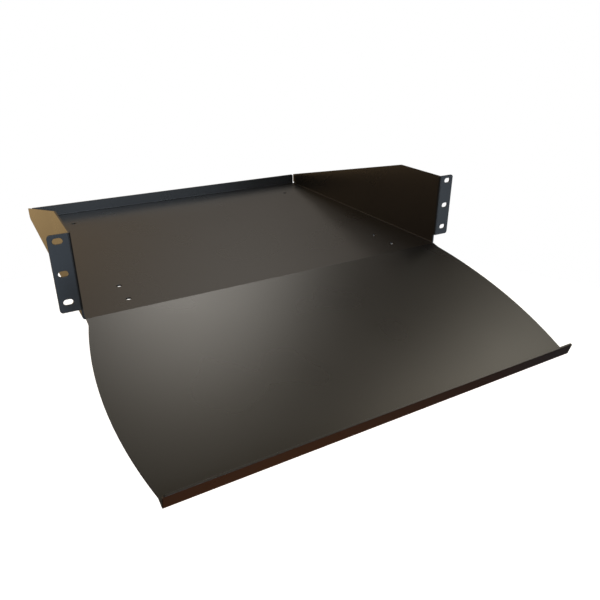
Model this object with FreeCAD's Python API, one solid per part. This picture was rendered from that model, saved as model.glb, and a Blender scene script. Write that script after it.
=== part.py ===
import FreeCAD, Part

import math
import os

# Rack shelf folded from steel sheet: deck, side walls, rack ears, rear flange, sloping tray, front lip.
# Millimetres. +X right, +Y back into the rack, +Z up.
# Origin: centre of the four corner slots, on the rear faces of the ears, which seat on the rack rails.

# Sheet
sheet = 1.9
bend_radius = 0.7
edge_rounding = 0.2

# Rack ears and their slots
panel_width = 482.6
shelf_height = 88.9
ear_reach = 19.05
ear_base_height = 11.9
ear_corner_radius = 3.0
slot_edge_distance = 8.75
lower_slot_height = 22.225
middle_slot_height = 50.8
upper_slot_height = 82.55
slot_length = 9.0
slot_width = 5.9

# Deck between the side walls
deck_depth = 374.4
deck_hole_diameter = 5.7
deck_hole_inset = 50.5
front_hole_depth = 25.3
middle_hole_depth = 63.5
rear_hole_depth = 316.7

# Side walls
wall_knee_depth = 77.9
wall_rear_height = 17.0
wall_corner_radius = 1.5

# Rear flange
rear_flange_height = 17.0
rear_flange_gap = 1.6
flange_corner_radius = 3.0
corner_relief = 3.5

# Keyboard tray and its front lip
tray_slope = 14.6
tray_fold_ahead = 0.7
tray_length = 223.6
tray_neck_length = 8.8
tray_bow = 12.7
tray_front_straight = 10.2
lip_height = 15.5
lip_corner_radius = 2.5

# Places worked out from the sizes above
outer_radius = bend_radius + sheet
half_panel = panel_width / 2
half_body = half_panel - ear_reach
slot_x = half_panel - slot_edge_distance
deck_hole_x = half_body - deck_hole_inset
wall_inner_x = half_body - sheet
wall_fold_x = half_body - outer_radius
ear_front_y = -sheet
wall_front_y = ear_front_y + outer_radius
rear_y = ear_front_y + deck_depth
rear_fold_y = rear_y - outer_radius
base_z = -(lower_slot_height + upper_slot_height) / 2
deck_top_z = base_z + sheet
ear_base_z = base_z + ear_base_height
top_z = base_z + shelf_height
half_neck = wall_fold_x
half_widest = half_neck + tray_bow
slope_angle = math.radians(tray_slope)
tray_fold_y = ear_front_y - tray_fold_ahead
tray_fold_reach = outer_radius * math.tan(slope_angle / 2)
margin = 5 * sheet

RIGHT = FreeCAD.Vector(1, 0, 0)
BACK = FreeCAD.Vector(0, 1, 0)
ORIGIN = FreeCAD.Vector(0, 0, 0)


def line(a, b):
    return Part.LineSegment(a, b).toShape()


def arc(a, b, c):
    return Part.Arc(a, b, c).toShape()


def outline(points):
    """Closed face through the points, in order."""
    return Part.Face(Part.makePolygon(points + [points[0]]))


def fold_profile(place, reach):
    """Section of a square fold and the straight leg after it, as one face.

    place(u, v) maps the section's plane to space. The fold starts at u = 0, where the sheet runs
    along -u with its outer skin at v = 0 and its inner skin at v = sheet, and turns up to +v.
    reach is the leg's length past the fold.
    """
    turn = math.pi / 2

    def on_fold(radius, angle):
        return place(radius * math.sin(angle), outer_radius - radius * math.cos(angle))

    def leg_end(radius):
        return place(radius, outer_radius + reach)

    edges = [
        arc(on_fold(outer_radius, 0), on_fold(outer_radius, turn / 2), on_fold(outer_radius, turn)),
        line(on_fold(outer_radius, turn), leg_end(outer_radius)),
        line(leg_end(outer_radius), leg_end(bend_radius)),
        line(leg_end(bend_radius), on_fold(bend_radius, turn)),
        arc(on_fold(bend_radius, turn), on_fold(bend_radius, turn / 2), on_fold(bend_radius, 0)),
        line(on_fold(bend_radius, 0), on_fold(outer_radius, 0)),
    ]
    return Part.Face(Part.Wire(edges))


def round_corners(solid, direction, places, radius):
    """Round the short edges that run along direction and pass within the sheet's thickness of a place."""
    closed_length = 1e-6
    parallel_cosine = 0.999
    chosen = []
    for edge in solid.Edges:
        middle = edge.CenterOfMass
        run = edge.Vertexes[-1].Point - edge.Vertexes[0].Point
        if run.Length < closed_length or abs(run.normalize().dot(direction)) < parallel_cosine:
            continue
        if any((middle - place).Length < sheet for place in places):
            chosen.append(edge)
    return solid.makeFillet(radius, chosen)


def soften(solid, seams):
    """Round the rims of the cut sheet, apart from those on a seam plane, a point and normal each.

    Left sharp too are the short edges across the sheet and those where two faces run on smoothly.
    """
    seam_tolerance = 1e-4
    square_cosine = 0.3
    short_edge = 1.05 * sheet

    def on_seam(face):
        places = [vertex.Point for vertex in face.Vertexes] + [face.CenterOfMass]
        for point, normal in seams:
            if all(abs((place - point).dot(normal)) < seam_tolerance for place in places):
                return True
        return False

    def normal_at(face, point):
        u, v = face.Surface.parameter(point)
        return face.normalAt(u, v)

    chosen = []
    for edge in solid.Edges:
        faces = solid.ancestorsOfType(edge, Part.Face)
        if len(faces) != 2 or any(on_seam(face) for face in faces):
            continue
        if edge.Length < short_edge:
            continue
        middle = edge.valueAt((edge.FirstParameter + edge.LastParameter) / 2)
        if abs(normal_at(faces[0], middle).dot(normal_at(faces[1], middle))) < square_cosine:
            chosen.append(edge)
    return solid.makeFillet(min(edge_rounding, sheet / 4), chosen)


def slot_cutter(x, z):
    """Oblong cutter along Y, longer in X."""
    radius = slot_width / 2
    reach = slot_length / 2 - radius
    y = ear_front_y - margin
    length = sheet + 2 * margin
    cutter = Part.makeBox(2 * reach, length, slot_width, FreeCAD.Vector(x - reach, y, z - radius))
    for side in (-1, 1):
        end = FreeCAD.Vector(x + side * reach, y, z)
        cutter = cutter.fuse(Part.makeCylinder(radius, length, end, BACK))
    return cutter.removeSplitter()


def make_deck():
    """Flat panel from the front of the walls to the rear fold, with six holes."""
    corner = FreeCAD.Vector(-wall_fold_x, ear_front_y, base_z)
    deck = Part.makeBox(2 * wall_fold_x, rear_fold_y - ear_front_y, sheet, corner)
    for side in (-1, 1):
        for depth in (front_hole_depth, middle_hole_depth, rear_hole_depth):
            centre = FreeCAD.Vector(side * deck_hole_x, ear_front_y + depth, base_z - margin)
            hole = Part.makeCylinder(deck_hole_diameter / 2, sheet + 2 * margin, centre)
            deck = deck.cut(hole)
    seams = [
        (FreeCAD.Vector(wall_fold_x, 0, 0), RIGHT),
        (FreeCAD.Vector(-wall_fold_x, 0, 0), RIGHT),
        (FreeCAD.Vector(0, ear_front_y, 0), BACK),
        (FreeCAD.Vector(0, rear_fold_y, 0), BACK),
    ]
    return soften(deck, seams)


def make_side_wall(side):
    """Wall with its fold to the deck, from the ear's fold back. side is -1 for left, 1 for right."""

    def place(u, v):
        return FreeCAD.Vector(side * (wall_fold_x + u), wall_front_y, base_z + v)

    profile = fold_profile(place, shelf_height - outer_radius)
    wall = profile.extrude(FreeCAD.Vector(0, rear_y - wall_front_y, 0))

    # Side view of what is kept: front edge, top, slope, rear edge, corner relief
    relief_y = rear_y - corner_relief
    relief_z = base_z + corner_relief
    x = side * (wall_fold_x - margin)
    shape = outline([
        FreeCAD.Vector(x, wall_front_y, base_z - margin),
        FreeCAD.Vector(x, wall_front_y, top_z),
        FreeCAD.Vector(x, ear_front_y + wall_knee_depth, top_z),
        FreeCAD.Vector(x, rear_y, base_z + wall_rear_height),
        FreeCAD.Vector(x, rear_y, relief_z),
        FreeCAD.Vector(x, relief_y, relief_z),
        FreeCAD.Vector(x, relief_y, base_z - margin),
    ])
    wall = wall.common(shape.extrude(FreeCAD.Vector(side * (outer_radius + 2 * margin), 0, 0)))
    rear_top = FreeCAD.Vector(side * (half_body - sheet / 2), rear_y, base_z + wall_rear_height)
    wall = round_corners(wall, RIGHT, [rear_top], wall_corner_radius)
    seams = [
        (FreeCAD.Vector(side * wall_fold_x, 0, 0), RIGHT),
        (FreeCAD.Vector(0, wall_front_y, 0), BACK),
    ]
    return soften(wall, seams)


def make_rack_ear(side):
    """Ear with three slots and its fold to the wall. side is -1 for left, 1 for right."""
    width = half_panel - wall_inner_x - outer_radius

    def place(u, v):
        return FreeCAD.Vector(side * (wall_inner_x + v), wall_front_y - u, ear_base_z)

    ear = fold_profile(place, width).extrude(FreeCAD.Vector(0, 0, top_z - ear_base_z))
    for height in (lower_slot_height, middle_slot_height, upper_slot_height):
        ear = ear.cut(slot_cutter(side * slot_x, base_z + height))
    middle_y = ear_front_y + sheet / 2
    corners = [FreeCAD.Vector(side * half_panel, middle_y, z) for z in (ear_base_z, top_z)]
    ear = round_corners(ear, BACK, corners, ear_corner_radius)
    seams = [(FreeCAD.Vector(0, wall_front_y, 0), BACK)]
    return soften(ear, seams)


def make_rear_flange():
    """Low upstand along the rear of the deck, short of the walls at both ends."""
    half_width = wall_inner_x - rear_flange_gap

    def place(u, v):
        return FreeCAD.Vector(-half_width, rear_fold_y + u, base_z + v)

    profile = fold_profile(place, rear_flange_height - outer_radius)
    flange = profile.extrude(FreeCAD.Vector(2 * half_width, 0, 0))
    flange_top = base_z + rear_flange_height
    corners = [FreeCAD.Vector(side * half_width, rear_y - sheet / 2, flange_top) for side in (-1, 1)]
    flange = round_corners(flange, BACK, corners, flange_corner_radius)
    seams = [(FreeCAD.Vector(0, rear_fold_y, 0), BACK)]
    return soften(flange, seams)


def onto_slope(shape):
    """Turn a shape made level, with its top skin at z = 0 and the fold line at y = 0, onto the slope."""
    shape.rotate(ORIGIN, RIGHT, tray_slope)
    shape.translate(FreeCAD.Vector(0, tray_fold_y, deck_top_z))
    return shape


def make_keyboard_tray():
    """Sloping panel with its fold to the deck, cut to the neck, bowed sides and straight front."""
    half_span = half_widest + margin
    fold_start = tray_fold_y + tray_fold_reach
    centre_z = deck_top_z - outer_radius
    lip_fold = tray_length - outer_radius

    def on_fold(radius, angle):
        y = fold_start - radius * math.sin(angle)
        return FreeCAD.Vector(-half_span, y, centre_z + radius * math.cos(angle))

    def on_slope_end(radius):
        start = on_fold(radius, slope_angle)
        run = lip_fold - tray_fold_reach
        return start + FreeCAD.Vector(0, -run * math.cos(slope_angle), -run * math.sin(slope_angle))

    top_start = FreeCAD.Vector(-half_span, ear_front_y, deck_top_z)
    base_start = FreeCAD.Vector(-half_span, ear_front_y, base_z)
    half_turn = slope_angle / 2
    edges = [
        line(top_start, on_fold(outer_radius, 0)),
        arc(on_fold(outer_radius, 0), on_fold(outer_radius, half_turn), on_fold(outer_radius, slope_angle)),
        line(on_fold(outer_radius, slope_angle), on_slope_end(outer_radius)),
        line(on_slope_end(outer_radius), on_slope_end(bend_radius)),
        line(on_slope_end(bend_radius), on_fold(bend_radius, slope_angle)),
        arc(on_fold(bend_radius, slope_angle), on_fold(bend_radius, half_turn), on_fold(bend_radius, 0)),
        line(on_fold(bend_radius, 0), base_start),
        line(base_start, top_start),
    ]
    tray = Part.Face(Part.Wire(edges)).extrude(FreeCAD.Vector(2 * half_span, 0, 0))

    # Plan of the sides, level here and then turned onto the slope
    bow_end = tray_length - tray_front_straight
    bow_middle = (tray_neck_length + bow_end) / 2
    low = -sheet - margin

    def plan(x, s):
        return FreeCAD.Vector(x, -s, low)

    def side_edges(side):
        return [
            line(plan(side * half_neck, -margin), plan(side * half_neck, tray_neck_length)),
            arc(
                plan(side * half_neck, tray_neck_length),
                plan(side * half_widest, bow_middle),
                plan(side * half_neck, bow_end),
            ),
            line(plan(side * half_neck, bow_end), plan(side * half_neck, tray_length + margin)),
        ]

    ends = [
        line(plan(-half_neck, -margin), plan(half_neck, -margin)),
        line(plan(-half_neck, tray_length + margin), plan(half_neck, tray_length + margin)),
    ]
    plan_wire = Part.Wire(Part.__sortEdges__(side_edges(-1) + side_edges(1) + ends))
    cutter = Part.Face(plan_wire).extrude(FreeCAD.Vector(0, 0, sheet + 2 * margin))
    tray = tray.common(onto_slope(cutter))
    along_slope = FreeCAD.Vector(0, math.cos(slope_angle), math.sin(slope_angle))

    # The sides of the neck and of the straight front lie in line with the deck's sides, and stay sharp too
    seams = [
        (FreeCAD.Vector(0, ear_front_y, 0), BACK),
        (on_slope_end(outer_radius), along_slope),
        (FreeCAD.Vector(-half_neck, 0, 0), RIGHT),
        (FreeCAD.Vector(half_neck, 0, 0), RIGHT),
    ]
    return soften(tray, seams)


def make_front_lip():
    """Upturned lip along the front of the tray, square to it."""
    lip_fold = tray_length - outer_radius

    def place(u, v):
        return FreeCAD.Vector(-half_neck, -lip_fold - u, v - sheet)

    profile = fold_profile(place, lip_height - outer_radius)
    lip = profile.extrude(FreeCAD.Vector(2 * half_neck, 0, 0))
    middle_y = -tray_length + sheet / 2
    corners = [FreeCAD.Vector(side * half_neck, middle_y, lip_height - sheet) for side in (-1, 1)]
    lip = round_corners(lip, BACK, corners, lip_corner_radius)
    lip = soften(lip, [(FreeCAD.Vector(0, -lip_fold, 0), BACK)])
    return onto_slope(lip)


parts = {
    "deck": make_deck(),
    "rear_flange": make_rear_flange(),
    "left_side_wall": make_side_wall(-1),
    "right_side_wall": make_side_wall(1),
    "left_rack_ear": make_rack_ear(-1),
    "right_rack_ear": make_rack_ear(1),
    "keyboard_tray": make_keyboard_tray(),
    "front_lip": make_front_lip(),
}

os.makedirs("parts", exist_ok=True)
for name, shape in parts.items():
    if not shape.isValid() or len(shape.Solids) != 1:
        raise ValueError(name + " is not one valid solid")
    shape.exportStep("parts/" + name + ".step")
    print(name, round(shape.Volume, 1), "mm3")
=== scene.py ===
import math

import bpy
from mathutils import Matrix, Vector


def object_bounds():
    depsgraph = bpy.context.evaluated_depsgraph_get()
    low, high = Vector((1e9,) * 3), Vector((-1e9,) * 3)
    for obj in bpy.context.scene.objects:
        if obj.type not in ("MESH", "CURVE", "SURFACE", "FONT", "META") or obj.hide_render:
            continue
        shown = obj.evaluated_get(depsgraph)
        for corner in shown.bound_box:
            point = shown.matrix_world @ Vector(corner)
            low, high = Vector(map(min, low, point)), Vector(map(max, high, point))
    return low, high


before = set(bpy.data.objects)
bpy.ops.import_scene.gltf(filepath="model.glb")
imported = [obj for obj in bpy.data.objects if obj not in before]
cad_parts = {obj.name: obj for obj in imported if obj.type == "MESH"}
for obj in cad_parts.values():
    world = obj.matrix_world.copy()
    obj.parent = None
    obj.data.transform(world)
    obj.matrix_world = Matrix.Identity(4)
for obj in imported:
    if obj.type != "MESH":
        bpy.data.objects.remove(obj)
cad_low, cad_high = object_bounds()

# Rack keyboard shelf in black powder coat, in metres. +X right, +Y back into the rack, +Z up.
CENTRE = (cad_low + cad_high) / 2

# Camera, solved from the photograph: where it stands, the direction from the shelf towards it in
# degrees, and its focal length
CAMERA_PLACE = Vector((-0.2917, -0.5384, 0.2047))
CAMERA_AZIMUTH = -30.06
CAMERA_ELEVATION = 25.15
CAMERA_ROLL = 0.11
FOCAL_PIXELS = 582.0
IMAGE_PIXELS = 600
SENSOR_MM = 36.0
NEAREST_SEEN = 0.01
FARTHEST_SEEN = 100.0

# Powder coat: colour, roughness, and the size and depth of its fine grain and of its orange peel
COAT_COLOUR = (0.015, 0.014, 0.013)
COAT_ROUGHNESS = 0.28
COAT_ROUGHNESS_SPREAD = 0.01
COAT_GRAIN = 0.0009
COAT_GRAIN_DEPTH = 0.000012
COAT_GRAIN_SHADE = 0.1
COAT_PEEL = 0.005
COAT_PEEL_DEPTH = 0.000010
COAT_MOTTLE = 1 / 12
COAT_MOTTLE_SHADE = 0.06

# Nearly all values of a noise lie between these two
NOISE_LOW = 0.3
NOISE_HIGH = 0.7

# Floor, as far below the shelf as a shelf at desk height stands over it
FLOOR_DROP = 0.75
FLOOR_RADIUS = 2.2
FLOOR_SIDES = 64
FLOOR_COLOUR = (0.8, 0.8, 0.8, 1)
FLOOR_GLOW = 0.8

WHITE = (1, 1, 1, 1)

# Dim light all round the shelf. White is 1.
ROOM_LIGHT = (0.015, 0.004, 0.0)

# Studio that the coat reflects, in soft round patches: name, azimuth, elevation, radius and colour
PATCHES = [
    ("back_wall", -174, 19, 28.5, (0.56, 0.42, 0.27)),
    ("back_left", -155, 42, 18, (1.3, 1.2, 1.0)),
    ("gold_card", -161, -4.5, 31.5, (1.28, 0.87, 0.4)),
    ("back_window", 151.5, 60, 22, (0.7, 0.58, 0.35)),
    ("front_window", 4, 16, 30.5, (4.9, 5.75, 6.7)),
    ("front_low", 1, -20.5, 19, (1.55, 1.95, 2.45)),
    ("front_right", 49.5, 17.5, 14.5, (1.4, 1.2, 0.75)),
    ("front_left", -55, 40, 45, (1.2, 1.04, 0.75)),
    ("key_lamp", 154, 49.5, 16, (5.5, 5.3, 5.0)),
    ("key_glow", 155.5, 32.5, 24.5, (0.91, 0.84, 0.74)),
    ("side_lamp", 105, 43.5, 9.2, (5.3, 4.95, 4.15)),
    ("side_glow", 104.5, 55, 11, (5.5, 4.95, 4.0)),
    ("right_window", 40, -14, 16.5, (1.48, 1.8, 2.15)),
    ("right_low", 97.5, -31.5, 24, (0.18, 0.2, 0.23)),
    ("left_wall", -118.5, -0.5, 48.5, (1.0, 0.69, 0.47)),
    ("wood_floor", 80, -74.5, 40, (0.44, 0.12, 0.0)),
]


def add(tree, kind, inputs=None, **settings):
    """New node with its settings. An input is a value or another node's output."""
    made = tree.nodes.new(kind)
    for name, value in settings.items():
        setattr(made, name, value)
    for name, value in (inputs or {}).items():
        if isinstance(value, bpy.types.NodeSocket):
            tree.links.new(value, made.inputs[name])
        else:
            made.inputs[name].default_value = value
    return made


def direction(azimuth, elevation):
    """Unit vector towards a compass point: azimuth 0 is the front, 90 the right and -90 the left."""
    a = math.radians(azimuth)
    e = math.radians(elevation)
    return Vector((math.sin(a) * math.cos(e), -math.cos(a) * math.cos(e), math.sin(e)))


def make_camera():
    """Camera at its solved place. It looks along its own -Z, with +X to the right and +Y up."""
    data = bpy.data.cameras.new("camera")
    data.sensor_width = SENSOR_MM
    data.lens = FOCAL_PIXELS / IMAGE_PIXELS * SENSOR_MM
    data.clip_start = NEAREST_SEEN
    data.clip_end = FARTHEST_SEEN
    camera = bpy.data.objects.new("camera", data)
    bpy.context.scene.collection.objects.link(camera)

    back = direction(CAMERA_AZIMUTH, CAMERA_ELEVATION)
    level = Vector((0, 0, 1)).cross(back).normalized()
    upright = back.cross(level)
    roll = math.radians(CAMERA_ROLL)
    right = level * math.cos(roll) + upright * math.sin(roll)
    up = upright * math.cos(roll) - level * math.sin(roll)
    turn = Matrix((right, up, back)).transposed()
    camera.matrix_world = Matrix.Translation(CAMERA_PLACE) @ turn.to_4x4()
    bpy.context.scene.camera = camera


def spread(tree, noise, middle, reach):
    """The noise's usual range as middle - reach to middle + reach."""
    ranged = add(tree, "ShaderNodeMapRange", {
        "Value": noise.outputs["Fac"], "From Min": NOISE_LOW, "From Max": NOISE_HIGH,
        "To Min": middle - reach, "To Max": middle + reach}, clamp=False)
    return ranged.outputs[0]


def powder_coat():
    """Fine textured satin black powder coat: slight mottle, fine grain and a shallow orange peel."""
    material = bpy.data.materials.new("powder_coat")
    material.use_nodes = True
    tree = material.node_tree
    shader = tree.nodes["Principled BSDF"]
    place = add(tree, "ShaderNodeTexCoord").outputs["Object"]

    mottle = add(tree, "ShaderNodeTexNoise", {"Vector": place, "Scale": 1 / COAT_MOTTLE, "Detail": 1.0})
    grain = add(tree, "ShaderNodeTexNoise", {"Vector": place, "Scale": 1 / COAT_GRAIN, "Detail": 3.0})
    peel = add(tree, "ShaderNodeTexNoise", {"Vector": place, "Scale": 1 / COAT_PEEL, "Detail": 2.0})

    patchy = spread(tree, mottle, 1, COAT_MOTTLE_SHADE)
    speckled = spread(tree, grain, 1, COAT_GRAIN_SHADE)
    shade = add(tree, "ShaderNodeMath", {0: patchy, 1: speckled}, operation="MULTIPLY").outputs[0]
    colour = add(tree, "ShaderNodeVectorMath", {0: COAT_COLOUR, "Scale": shade}, operation="SCALE")
    tree.links.new(colour.outputs[0], shader.inputs["Base Color"])

    roughness = spread(tree, mottle, COAT_ROUGHNESS, COAT_ROUGHNESS_SPREAD)
    tree.links.new(roughness, shader.inputs["Roughness"])

    wide = add(tree, "ShaderNodeBump", {"Height": peel.outputs["Fac"], "Distance": COAT_PEEL_DEPTH})
    fine = add(tree, "ShaderNodeBump", {
        "Height": grain.outputs["Fac"], "Distance": COAT_GRAIN_DEPTH, "Normal": wide.outputs[0]})
    tree.links.new(fine.outputs[0], shader.inputs["Normal"])
    return material


def pale_floor():
    """Matt, with a glow of its own: white, and a little greyer in the shelf's soft shadow."""
    material = bpy.data.materials.new("pale_floor")
    material.use_nodes = True
    tree = material.node_tree
    tree.nodes.remove(tree.nodes["Principled BSDF"])
    paper = add(tree, "ShaderNodeBsdfDiffuse", {"Color": FLOOR_COLOUR})
    glow = add(tree, "ShaderNodeEmission", {"Color": WHITE, "Strength": FLOOR_GLOW})
    surface = add(tree, "ShaderNodeAddShader", {0: paper.outputs[0], 1: glow.outputs[0]})
    tree.links.new(surface.outputs[0], tree.nodes["Material Output"].inputs["Surface"])
    return material


def make_floor():
    """Round floor under the shelf. Only the camera sees it, so it lights and darkens nothing."""
    corners = []
    for i in range(FLOOR_SIDES):
        turn = 2 * math.pi * i / FLOOR_SIDES
        x = CENTRE.x + FLOOR_RADIUS * math.cos(turn)
        y = CENTRE.y + FLOOR_RADIUS * math.sin(turn)
        corners.append((x, y, cad_low.z - FLOOR_DROP))
    mesh = bpy.data.meshes.new("floor")
    mesh.from_pydata(corners, [], [tuple(range(FLOOR_SIDES))])
    mesh.materials.append(pale_floor())
    floor = bpy.data.objects.new("floor", mesh)
    floor.visible_diffuse = False
    floor.visible_glossy = False
    floor.visible_shadow = False
    bpy.context.scene.collection.objects.link(floor)


def patch_light(tree, ray, name, azimuth, elevation, radius, colour):
    """Light of one patch: its full colour in the middle, fading out at its radius in degrees."""
    towards = direction(azimuth, elevation)
    near = add(tree, "ShaderNodeVectorMath", {0: ray, 1: towards}, operation="DOT_PRODUCT")
    angle = add(tree, "ShaderNodeMath", {0: near.outputs["Value"]}, operation="ARCCOSINE")
    fade = add(tree, "ShaderNodeMapRange", {
        "Value": angle.outputs[0], "From Min": math.radians(radius), "From Max": 0.0,
        "To Min": 0.0, "To Max": 1.0}, interpolation_type="SMOOTHSTEP")
    light = add(tree, "ShaderNodeVectorMath", {0: colour, "Scale": fade.outputs[0]}, operation="SCALE")
    light.label = name
    return light.outputs[0]


def make_world():
    """White as the camera sees it, and a dim room with the studio's patches as the coat reflects it."""
    world = bpy.data.worlds.new("studio")
    world.use_nodes = True
    tree = world.node_tree
    ray = add(tree, "ShaderNodeTexCoord").outputs["Generated"]
    total = ROOM_LIGHT
    for patch in PATCHES:
        light = patch_light(tree, ray, *patch)
        total = add(tree, "ShaderNodeVectorMath", {0: total, 1: light}, operation="ADD").outputs[0]
    studio = tree.nodes["Background"]
    tree.links.new(total, studio.inputs["Color"])

    path = add(tree, "ShaderNodeLightPath")
    white = add(tree, "ShaderNodeBackground", {"Color": WHITE, "Strength": 1.0})
    seen = add(tree, "ShaderNodeMixShader", {
        "Fac": path.outputs["Is Camera Ray"], 1: studio.outputs[0], 2: white.outputs[0]})
    tree.links.new(seen.outputs[0], tree.nodes["World Output"].inputs["Surface"])
    bpy.context.scene.world = world


make_camera()
coat = powder_coat()
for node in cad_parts.values():
    node.data.materials.clear()
    node.data.materials.append(coat)
make_floor()
make_world()

bpy.context.scene.view_settings.view_transform = "Standard"
